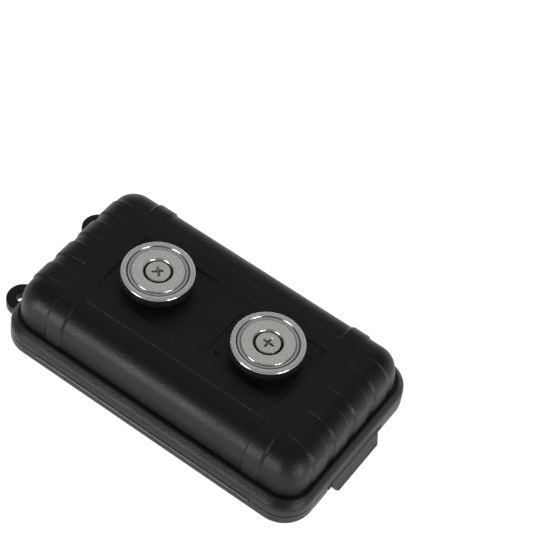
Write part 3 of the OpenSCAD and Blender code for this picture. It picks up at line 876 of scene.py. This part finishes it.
seal_rows = fillet([(64.5, 35.8, 13, 17.65, 0.45, 4), (64.5, 35.8, 13, 20.15, 0.3, 3),
                    (62.8, 34.1, 11.3, 20.15, 0.3, 3), (62.8, 34.1, 11.3, 17.65, 0.45, 4)])
seal_rays = rays(np.linspace(-CORE_X, CORE_X, 31), np.linspace(-CORE_Y, CORE_Y, 15), 20)
seal = loops(seal_rows, *seal_rays)
make_piece("rim_seal_cord", *weld(seal.reshape(-1, 3), grid_quads(*seal.shape[:2], True, True)),
           "base", "seal_rubber", silicone, ["rim_seal"])

spacer = fillet([(2.75, 40, 0, 0), (7, 40, 0.35, 3), (7.15, 41.55, 0.6, 4),
                 (7, 43.1, 0.35, 3), (2.75, 43.1, 0, 0)])
for end, magnet_x in MAGNETS:
    make_piece(f"rubber_spacer_disc_{end}", *revolve(spacer, magnet_x, 0, 72, True),
               "base", "spacer_rubber", spacer_rubber, [f"rubber_spacer_{end}"])

# %% [markdown]
# ## Nickel plate and steel
#
# The cups are deep drawn steel, faced on a lathe and nickel plated, so fine rings about 0.1 mm
# apart run round their rims; they are drawn 0.6 mm apart. The ring magnets are sintered
# neodymium under smooth nickel, and the screws are zinc plated steel with a fine grain. A metal
# has no diffuse colour: what it shows is its surroundings, tinted by the base colour. The rings
# follow the turning, so they read an attribute with the distance from the magnet's own axis.

# %% Metal finishes
def plated_metal(name, colour, worn, roughness, rings, grain, depth):
    """Plated metal. rings is the strength of the turning marks beside the plate's own grain;
    grain and depth are its size and height in millimetres. Smudges vary the gloss."""
    material, tree, shader = new_finish(name)
    place = add(tree, "ShaderNodeTexCoord").outputs["Object"]
    radius = add(tree, "ShaderNodeAttribute", attribute_name="radius").outputs["Fac"]
    turning = add(tree, "ShaderNodeTexNoise", {"W": radius, "Scale": 1.7, "Detail": 2.0},
                  noise_dimensions="1D")
    plate = add(tree, "ShaderNodeTexNoise",
                {"Vector": place, "Scale": 1 / (grain * MM), "Detail": 3.0})
    smudges = add(tree, "ShaderNodeTexNoise",
                  {"Vector": place, "Scale": 1 / (7 * MM), "Detail": 3.0})
    height = add(tree, "ShaderNodeMath",
                 {0: turning.outputs["Fac"], 1: rings, 2: plate.outputs["Fac"]},
                 operation="MULTIPLY_ADD")
    middle, spread = 0.5 * (rings + 1), 0.16 * (rings + 0.6)
    marks = add(tree, "ShaderNodeMapRange",
                {"Value": height.outputs[0],
                 "From Min": middle - spread, "From Max": middle + spread})
    tint = add(tree, "ShaderNodeMix",
               {"Factor": marks.outputs["Result"], "A": linear(colour), "B": linear(worn)},
               data_type="RGBA")
    gloss = add(tree, "ShaderNodeMapRange",
                {"Value": smudges.outputs["Fac"], "From Min": 0.3, "From Max": 0.7,
                 "To Min": roughness - 0.03, "To Max": roughness + 0.05})
    relief = add(tree, "ShaderNodeBump",
                 {"Height": height.outputs[0], "Distance": depth * MM, "Strength": 0.5})
    wire(tree, tint.outputs["Result"], shader, "Base Color")
    wire(tree, gloss.outputs["Result"], shader, "Roughness")
    wire(tree, relief.outputs["Normal"], shader, "Normal")
    shader.inputs["Metallic"].default_value = 1.0
    return material


turned_nickel = plated_metal("nickel_plated_steel_turned", "#e6e4e1", "#979592",
                             roughness=0.2, rings=3.0, grain=0.6, depth=0.003)
smooth_nickel = plated_metal("nickel_plated_neodymium", "#d2d0cd", "#b6b4b1",
                             roughness=0.22, rings=0.1, grain=0.5, depth=0.003)
zinc_steel = plated_metal("zinc_plated_steel", "#cfcecb", "#b5b4b1",
                          roughness=0.26, rings=0.0, grain=0.4, depth=0.012)


print("finishes:", turned_nickel.name, smooth_nickel.name, zinc_steel.name)

# %% Resin between cup and ring
def cast_resin():
    """Light grey epoxy poured into the gap of the magnet: an even grey, glossy, with a slow
    swell of the surface where it drew back from the metal, and a few pinholes, which are only
    darker spots of painted shade."""
    material, tree, shader = new_finish("epoxy_potting_resin_grey")
    place = add(tree, "ShaderNodeTexCoord").outputs["Object"]
    swell = add(tree, "ShaderNodeTexNoise",
                {"Vector": place, "Scale": 1 / (2.5 * MM), "Detail": 2.0})
    holes = add(tree, "ShaderNodeTexVoronoi", {"Vector": place, "Scale": 1 / (1.8 * MM)})
    # A pinhole is only a darker spot of colour, painted shade, as the surface has no hole
    pinhole_painted_shade = add(tree, "ShaderNodeMath",
                  {0: holes.outputs["Distance"], 1: 0.12}, operation="LESS_THAN")
    colour = add(tree, "ShaderNodeMix",
                 {"Factor": pinhole_painted_shade.outputs[0], "A": linear("#dcdcdc"), "B": linear("#b0b0b0")},
                 data_type="RGBA")
    relief = add(tree, "ShaderNodeBump",
                 {"Height": swell.outputs["Fac"], "Distance": 0.05 * MM, "Strength": 0.5})
    wire(tree, colour.outputs["Result"], shader, "Base Color")
    wire(tree, relief.outputs["Normal"], shader, "Normal")
    shader.inputs["Roughness"].default_value = 0.3
    return material


grey_resin = cast_resin()
print("finish:", grey_resin.name)

# %% [markdown]
# ## Pot magnets
#
# A pot magnet is a steel cup with a ring magnet glued inside. The cup's rim and the ring end
# at the same height, 47.5 mm over the ground, with a sunk ring of resin between them. What the
# eye catches is the narrow slopes at the edges. They look sideways and about 32 degrees up,
# halfway between camera and lamps, so each shows the lamps as short white arcs.

# %% Cups, rings and resin
def turned_piece(name, profile, magnet_x, slot, finish, node, sides=128):
    """A revolved piece that also stores each point's distance from its axis in millimetres."""
    places, faces = revolve(profile, magnet_x, 0, sides, True)
    piece = make_piece(name, places, faces, "base", slot, finish, [node])
    store(piece, "radius", np.hypot(places[:, 0] - magnet_x, places[:, 1]))


cup = fillet([(2.75, 43.1, 0, 0), (13.5, 43.1, 0.5, 4), (13.5, 47.5, 0.55, 8),
              (12.8, 47.5, 0, 0), (11.9, 47.5, 0, 0), (11.6, 47.5, 0.15, 4),
              (11.33, 47.08, 0.05, 2), (11, 46.5, 0, 0), (11, 44.5, 0, 0), (2.75, 44.5, 0, 0)])
ring = fillet([(2.75, 44.5, 0, 0), (9.9, 44.5, 0, 0), (9.9, 47.15, 0.05, 2),
               (9.69, 47.5, 0.12, 4), (9.4, 47.5, 0, 0), (5.95, 47.5, 0, 0), (5.6, 47.5, 0.2, 4),
               (5.2, 46.85, 0.1, 2), (4.75, 46.2, 0.1, 2), (2.75, 45.15, 0, 0)])
resin = fillet([(9.95, 44.5, 0, 0), (10.95, 44.5, 0, 0), (10.95, 47.22, 0, 0),
                (10.5, 47.16, 0.3, 3), (10.1, 47.0, 0.05, 2), (9.95, 46.8, 0, 0)])
for end, magnet_x in MAGNETS:
    turned_piece(f"magnet_cup_turned_{end}", cup, magnet_x,
                 "nickel", turned_nickel, f"magnet_cup_{end}")
    turned_piece(f"magnet_ring_plated_{end}", ring, magnet_x,
                 "nickel", smooth_nickel, f"magnet_ring_{end}")
    turned_piece(f"magnet_resin_{end}", resin, magnet_x,
                 "filler", grey_resin, f"magnet_filler_{end}")

# %% [markdown]
# ## Screws
#
# The cross recess is pressed in with a tapered punch, so its arms are deepest in the middle
# and end in slopes. Cutting it with a boolean would leave knife edges; here the head is a disc
# of rings and rays whose height drops by a smooth function of the place, and the thread is the
# radius of a helix: a triangle wave of the height over the pitch, less the turn.

# %% Screw with a cross recess and a thread
SCREW_TOP, SCREW_END, PITCH = 47.25, 31.05, 0.8
SIDES = 144
round_angle = np.arange(SIDES) * math.pi / (SIDES / 2)


def cross_depth(x, y, turn):
    """Depth of the recess: for each arm, one smooth step across it and a slope along it."""
    cosine, sine = math.cos(turn), math.sin(turn)
    along, across = np.abs(x * cosine + y * sine), np.abs(y * cosine - x * sine)
    arms = [ease(0.5 - b, 0.16) * ease(2.4 - a, 0.3) * (1.5 - 0.42 * a)
            for a, b in ((along, across), (across, along))]
    return np.maximum(*arms)


def screw(turn):
    """Rows from the middle of the head to its edge, down the cone, the shank and the thread,
    whose ridges flatten over the last 0.9 mm."""
    cosine, sine = np.cos(round_angle), np.sin(round_angle)
    head = np.append(np.linspace(0, 2.6, 40), [3.2, 3.8])
    x, y = head[:, None] * cosine, head[:, None] * sine
    disc = np.dstack([x, y, SCREW_TOP - cross_depth(x, y, turn)])
    edge = fillet([(3.9, SCREW_TOP, 0, 0), (4.6, SCREW_TOP, 0.3, 5), (4.6, 46.75, 0.04, 2),
                   (2.5, 45, 0.3, 2), (2.5, 38.5, 0, 0)])
    height = np.linspace(38, SCREW_END, 90)
    wave = height[:, None] / PITCH - round_angle / (2 * math.pi)
    ridge = np.abs(wave - np.floor(wave) - 0.5) * 2
    tip = np.clip((height[:, None] - SCREW_END) / 0.9, 0.25, 1)
    radius = 2.02 + 0.42 * ridge * tip
    radius = np.concatenate([np.broadcast_to(edge[:, :1], (len(edge), SIDES)), radius])
    height = np.concatenate([edge[:, 1], height])
    shank = np.dstack([radius * cosine, radius * sine,
                       np.broadcast_to(height[:, None], radius.shape)])
    bottom = np.zeros((1, SIDES, 3)) + [0, 0, SCREW_END]
    points = np.concatenate([disc, shank, bottom])
    return points.reshape(-1, 3), grid_quads(*points.shape[:2], False, True)


for (end, magnet_x), turn_angle in zip(MAGNETS, (math.pi / 4, 0)):
    points, quads = screw(turn_angle)
    make_piece(f"magnet_screw_cut_{end}", *weld(points + [magnet_x, 0, 0], quads),
               "base", "steel", zinc_steel, [f"magnet_screw_{end}"])

# %% [markdown]
# ## Nuts, washers and pins
#
# They show only when the case is open. A nut is a hexagon whose corners were turned off at
# both ends, so its radius at each angle is the smaller of the hexagon's and of a cone's.

# %% Fasteners inside the case
def nut(magnet_x):
    """Rows of a hexagon 8 mm across, cut by a cone at both ends, and then the bore."""
    height = np.array([32.6, 32.75, 32.9, 33.1, 33.4, 35.8, 36.1, 36.3, 36.45, 36.6])
    low, high = height[0], height[-1]
    hexagon = 4 / np.cos((round_angle + math.pi / 6) % (math.pi / 3) - math.pi / 6)
    cone = 3.9 + np.minimum(height - low, high - height)[:, None] * 1.5
    bore = np.full((2, SIDES), 2.5)
    radius = np.concatenate([np.minimum(hexagon, cone), bore])
    height = np.append(height, [high, low])
    points = np.dstack([magnet_x + radius * np.cos(round_angle), radius * np.sin(round_angle),
                        np.broadcast_to(height[:, None], radius.shape)])
    return weld(points.reshape(-1, 3), grid_quads(*points.shape[:2], True, True))


washer = fillet([(2.6, 36.6, 0, 0), (5, 36.6, 0.2, 3), (5, 37.6, 0.2, 3), (2.6, 37.6, 0, 0)])
for end, magnet_x in MAGNETS:
    make_piece(f"nut_hexagon_{end}", *nut(magnet_x),
               "base", "steel", zinc_steel, [f"nut_{end}"], sharp=25)
    turned_piece(f"washer_disc_{end}", washer, magnet_x,
                 "steel", zinc_steel, f"washer_{end}", sides=72)

# %% Pins of the hinge and the latch
def pin(centre, radius, half, chamfer):
    """A rod along Y with rounded ends: the radius falls off as a quarter circle."""
    fall = np.linspace(0, math.pi / 2, 6)
    from_end = chamfer * (1 - np.sin(fall))
    y = np.append((-half + from_end)[::-1], half - from_end)
    size = radius - chamfer * (1 - np.append(np.cos(fall)[::-1], np.cos(fall)))
    angle = np.arange(40) * math.pi / 20
    points = np.dstack([centre[0] + size[:, None] * np.cos(angle),
                        np.broadcast_to(y[:, None], (y.size, angle.size)),
                        centre[1] + size[:, None] * np.sin(angle)])
    quads = grid_quads(y.size, angle.size, False, True).tolist()
    indices = np.arange(y.size * angle.size).reshape(y.size, angle.size)
    return points.reshape(-1, 3), quads + [indices[0, ::-1].tolist(), indices[-1].tolist()]


make_piece("hinge_pin_rod", *pin(HINGE, 1.0, 15.0, 0.3),
           "base", "steel", zinc_steel, ["hinge_pin"])
make_piece("latch_pin_rod", *pin(LATCH, 0.8, 16.8, 0.25),
           "base", "steel", zinc_steel, ["latch_pin"])

# %% [markdown]
# ## Foam pad
#
# A sheet of open-cell polyurethane foam is die cut to the lid's floor and keeps the key from
# rattling. The blade drags the foam, so the cut sides pull in between the corners, and the top
# is a little crowned. Cells of about 0.8 mm make the surface: a Voronoi pattern gives their
# walls as bump, and it paints shade into their mouths as dark spots and light onto their walls.

# %% Finish of the foam
def open_cell_foam():
    """Black polyurethane foam, with painted shade in its cells' mouths, painted light on their
    walls and a cloud of dust on it. The colour's brightness is a share of the distance to a cell's
    middle, which is the painted shade and light, plus the cloud of dust."""
    material, tree, shader = new_finish("polyurethane_foam_open_cell")
    place = add(tree, "ShaderNodeTexCoord").outputs["Object"]
    cells = add(tree, "ShaderNodeTexVoronoi", {"Vector": place, "Scale": 1 / (0.8 * MM)})
    cloud = add(tree, "ShaderNodeTexNoise",
                {"Vector": place, "Scale": 1 / (9 * MM), "Detail": 3.0})
    # Painted shade and light: the colour is darker towards each cell's middle, its mouth, and
    # lighter towards its walls
    painted_cell_shade = add(tree, "ShaderNodeMapRange",
                {"Value": cells.outputs["Distance"], "From Min": 0.1, "From Max": 0.6})
    shade = add(tree, "ShaderNodeMath", {0: painted_cell_shade.outputs["Result"], 1: 0.75},
                operation="MULTIPLY")
    dust_and_painted_shade = add(tree, "ShaderNodeMath", {0: cloud.outputs["Fac"], 1: 0.4, 2: shade.outputs[0]},
                 operation="MULTIPLY_ADD")
    colour = add(tree, "ShaderNodeMix",
                 {"Factor": dust_and_painted_shade.outputs[0], "A": linear("#141416"), "B": linear("#3c3c40")},
                 data_type="RGBA")
    relief = add(tree, "ShaderNodeBump",
                 {"Height": cells.outputs["Distance"], "Distance": 0.35 * MM, "Strength": 0.8})
    wire(tree, colour.outputs["Result"], shader, "Base Color")
    wire(tree, relief.outputs["Normal"], shader, "Normal")
    shader.inputs["Roughness"].default_value = 0.95
    shader.inputs["Specular IOR Level"].default_value = 0.2
    return material


black_foam = open_cell_foam()
print("finish:", black_foam.name)

# %% Foam pad
PAD_X, PAD_Y, PAD_LOW, PAD_TOP = 59.2, 30.5, 2.4, 6.4


def foam_pad():
    """Rows from the crowned top over the edge to the underside, whose edge is cut back to
    follow the lid's inner corner. The crown falls by up to 0.5 mm, by the fourth power
    towards the sides, and a cosine pulls the middles of the sides in by about 0.4 mm."""
    x_lines, y_lines = np.linspace(-CORE_X, CORE_X, 53), np.linspace(-CORE_Y, CORE_Y, 25)
    rows = fillet([
        (CORE_X, CORE_Y, 0, PAD_TOP, 0, 0), (53.5, 24.8, 2, PAD_TOP, 0, 0),
        (56, 27.3, 4.5, PAD_TOP, 0, 0), (PAD_X, PAD_Y, 7.7, PAD_TOP, 1.3, 6),
        (PAD_X, PAD_Y, 7.7, 5, 0.6, 3), (56.6, 27.9, 5.1, PAD_LOW, 0.3, 2),
        (CORE_X, CORE_Y, 0, PAD_LOW, 0, 0)])
    wall = loops(rows, *rays(x_lines, y_lines, 12))
    grid_x, grid_y = np.meshgrid(x_lines, y_lines)
    sheets = [np.dstack([grid_x, grid_y, np.full(grid_x.shape, z)]).reshape(-1, 3)
              for z in (PAD_TOP, PAD_LOW)]
    points = np.concatenate([wall.reshape(-1, 3), *sheets])
    x, y, z = points.T.copy()
    crown = (1 - np.abs(x / PAD_X) ** 4) * (1 - np.abs(y / PAD_Y) ** 4)
    share = (z - PAD_LOW) / (PAD_TOP - PAD_LOW)
    points[:, 0] = x * (1 - 0.007 * np.cos(math.pi * y / (2 * PAD_Y)))
    points[:, 1] = y * (1 - 0.012 * np.cos(math.pi * x / (2 * PAD_X)))
    points[:, 2] = z - 0.5 * share * (1 - crown)
    first = wall.shape[0] * wall.shape[1]
    face = grid_quads(*grid_x.shape, False, False)
    quads = np.concatenate([grid_quads(*wall.shape[:2], False, True), face[:, ::-1] + first,
                            face + first + grid_x.size])
    return weld(points, quads)


foam = make_piece("lid_foam_pad_cut", *foam_pad(), "lid", "foam", black_foam, ["lid_foam_pad"])

# %% [markdown]
# ## White ground
#
# The photograph was taken on glossy white acrylic sheet, lit until it is pure white all round
# the case. For the camera and for reflections the floor is that sheet. Partly it glows, so
# that it comes out white, and partly it takes the light, so the case keeps a soft shadow. Its
# gloss passes the lamps on to the case's walls. Other rays go through it to the sky, and so
# does the camera from below, where the underside of the case is seen.

# %% Floor
def white_acrylic():
    """A glossy sheet plus a glow, seen only from above and only by the camera and by mirrored
    and refracted rays; for all the rest it is clear."""
    material, tree, shader = new_finish("white_acrylic_sheet")
    shader.inputs["Base Color"].default_value = linear("#b4b4b4")
    shader.inputs["Roughness"].default_value = 0.16
    path = add(tree, "ShaderNodeLightPath")
    mirrored = add(tree, "ShaderNodeMath",
                   {0: path.outputs["Is Glossy Ray"], 1: path.outputs["Is Transmission Ray"]},
                   operation="ADD")
    seen = add(tree, "ShaderNodeMath", {0: path.outputs["Is Camera Ray"], 1: mirrored.outputs[0]},
               operation="ADD", use_clamp=True)
    below = add(tree, "ShaderNodeNewGeometry").outputs["Backfacing"]
    above = add(tree, "ShaderNodeMath", {0: 1.0, 1: below}, operation="SUBTRACT")
    shown = add(tree, "ShaderNodeMath",
                {0: seen.outputs[0], 1: above.outputs[0]}, operation="MULTIPLY")
    glow = add(tree, "ShaderNodeEmission", {"Color": linear("#ffffff"), "Strength": 0.9})
    sheet = add(tree, "ShaderNodeAddShader", {0: shader.outputs[0], 1: glow.outputs[0]})
    clear = add(tree, "ShaderNodeBsdfTransparent")
    ground = add(tree, "ShaderNodeMixShader",
                 {0: shown.outputs[0], 1: clear.outputs[0], 2: sheet.outputs[0]})
    wire(tree, ground.outputs[0], tree.nodes["Material Output"], "Surface")
    return material


# The floor lies 0.2 mm under the lid, because two surfaces at one height would flicker
floor_half, floor_z = 4, -0.0002
floor_corners = [(x * floor_half, y * floor_half, floor_z)
                 for x, y in ((-1, -1), (1, -1), (1, 1), (-1, 1))]
floor_mesh = bpy.data.meshes.new("floor")
floor_mesh.from_pydata(floor_corners, [], [(0, 1, 2, 3)])
floor_mesh.materials.append(white_acrylic())
floor = bpy.data.objects.new("floor", floor_mesh)
bpy.context.scene.collection.objects.link(floor)
floor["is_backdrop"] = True
print("floor:", 2 * floor_half, "m square, of", floor_mesh.materials[0].name)

# %% [markdown]
# ## Light
#
# The short white arcs on the magnets' edges say where the lamps stood: one soft box on either
# side of the camera, 47 degrees round from it and 9 degrees up. The grey of the nickel faces
# gives the brightness of what they mirror, a dim ceiling behind the case, and the near wall of
# the case mirrors the white ground. The lamps are area lights, because their shape shows in
# the nickel.

# %% Soft boxes
CAMERA_AZIMUTH = -61.0
BOX_ROUND, BOX_UP, BOX_DISTANCE = 47, 9, 0.9
BOX_WIDTH, BOX_HEIGHT, BOX_RADIANCE = 0.36, 0.34, 10.5
case_middle = [0, 0, 0.03]


def soft_box(name, azimuth):
    """An area lamp that looks at the case. Its power is the radiance times pi times its area."""
    a, e = math.radians(azimuth), math.radians(BOX_UP)
    away = np.array([math.cos(a) * math.cos(e), math.sin(a) * math.cos(e), math.sin(e)])
    data = bpy.data.lights.new(name, "AREA")
    data.shape = "RECTANGLE"
    data.size = BOX_WIDTH
    data.size_y = BOX_HEIGHT
    data.energy = BOX_RADIANCE * math.pi * BOX_WIDTH * BOX_HEIGHT
    side = np.cross([0, 0, 1], away)
    side = side / np.linalg.norm(side)
    up = np.cross(away, side)
    lamp = bpy.data.objects.new(name, data)
    turned = Matrix((side, up, away)).transposed().to_4x4()
    lamp.matrix_world = Matrix.Translation(away * BOX_DISTANCE + case_middle) @ turned
    bpy.context.scene.collection.objects.link(lamp)
    print(f"{name}: {data.energy:.2f} W")


soft_box("soft_box_left", CAMERA_AZIMUTH - BOX_ROUND)
soft_box("soft_box_right", CAMERA_AZIMUTH + BOX_ROUND)

# %% [markdown]
# ## Surroundings
#
# The camera sees plain white behind the case. What the case mirrors is painted by direction:
# a bright band lies along the horizon, and the dim ceiling is brightest in the direction that
# the flat face mirrors. A picture of a studio could do this too, but a few nodes are enough.

# %% World
world = bpy.data.worlds.new("studio")
world.use_nodes = True
bpy.context.scene.world = world
sky = world.node_tree
background = sky.nodes["Background"]
direction = add(sky, "ShaderNodeTexCoord").outputs["Generated"]
# The direction that the case's flat face mirrors to the camera: up and away from it
mirrored = add(sky, "ShaderNodeVectorMath",
               {0: direction, 1: (forward[0], forward[1], -forward[2])}, operation="DOT_PRODUCT")
ceiling = add(sky, "ShaderNodeMapRange",
              {"Value": mirrored.outputs["Value"], "From Min": 0.82, "From Max": 0.99,
               "To Min": 0.2, "To Max": 0.62}, interpolation_type="SMOOTHSTEP")
height = add(sky, "ShaderNodeSeparateXYZ", {"Vector": direction}).outputs["Z"]
horizon = add(sky, "ShaderNodeMapRange",
              {"Value": height, "From Min": 0.03, "From Max": 0.32, "To Min": 0.86, "To Max": 0.0},
              interpolation_type="SMOOTHSTEP")
tone = add(sky, "ShaderNodeMix",
           {"Factor": horizon.outputs["Result"], "A": ceiling.outputs["Result"], "B": 1.0},
           data_type="FLOAT")
eye = add(sky, "ShaderNodeLightPath").outputs["Is Camera Ray"]
strength = add(sky, "ShaderNodeMix", {"Factor": eye, "A": tone.outputs["Result"], "B": 1.0},
               data_type="FLOAT")
background.inputs["Color"].default_value = linear("#ffffff")
wire(sky, strength.outputs["Result"], background, "Strength")
print("nodes of the sky:", len(sky.nodes))

# %% [markdown]
# ## Sizes
#
# The box round the new pieces is compared with the CAD's. It is 0.6 mm longer at the lanyard
# ears and 0.2 mm longer at the latch's plate, both of which follow the photograph.

# %% Compare the sizes and finish
low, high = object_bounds()
growth = [visual - cad for visual, cad in zip([*low, *high], cad_box[0] + cad_box[1])]
print("grown in mm:", [round(distance * 1000, 2) for distance in growth])
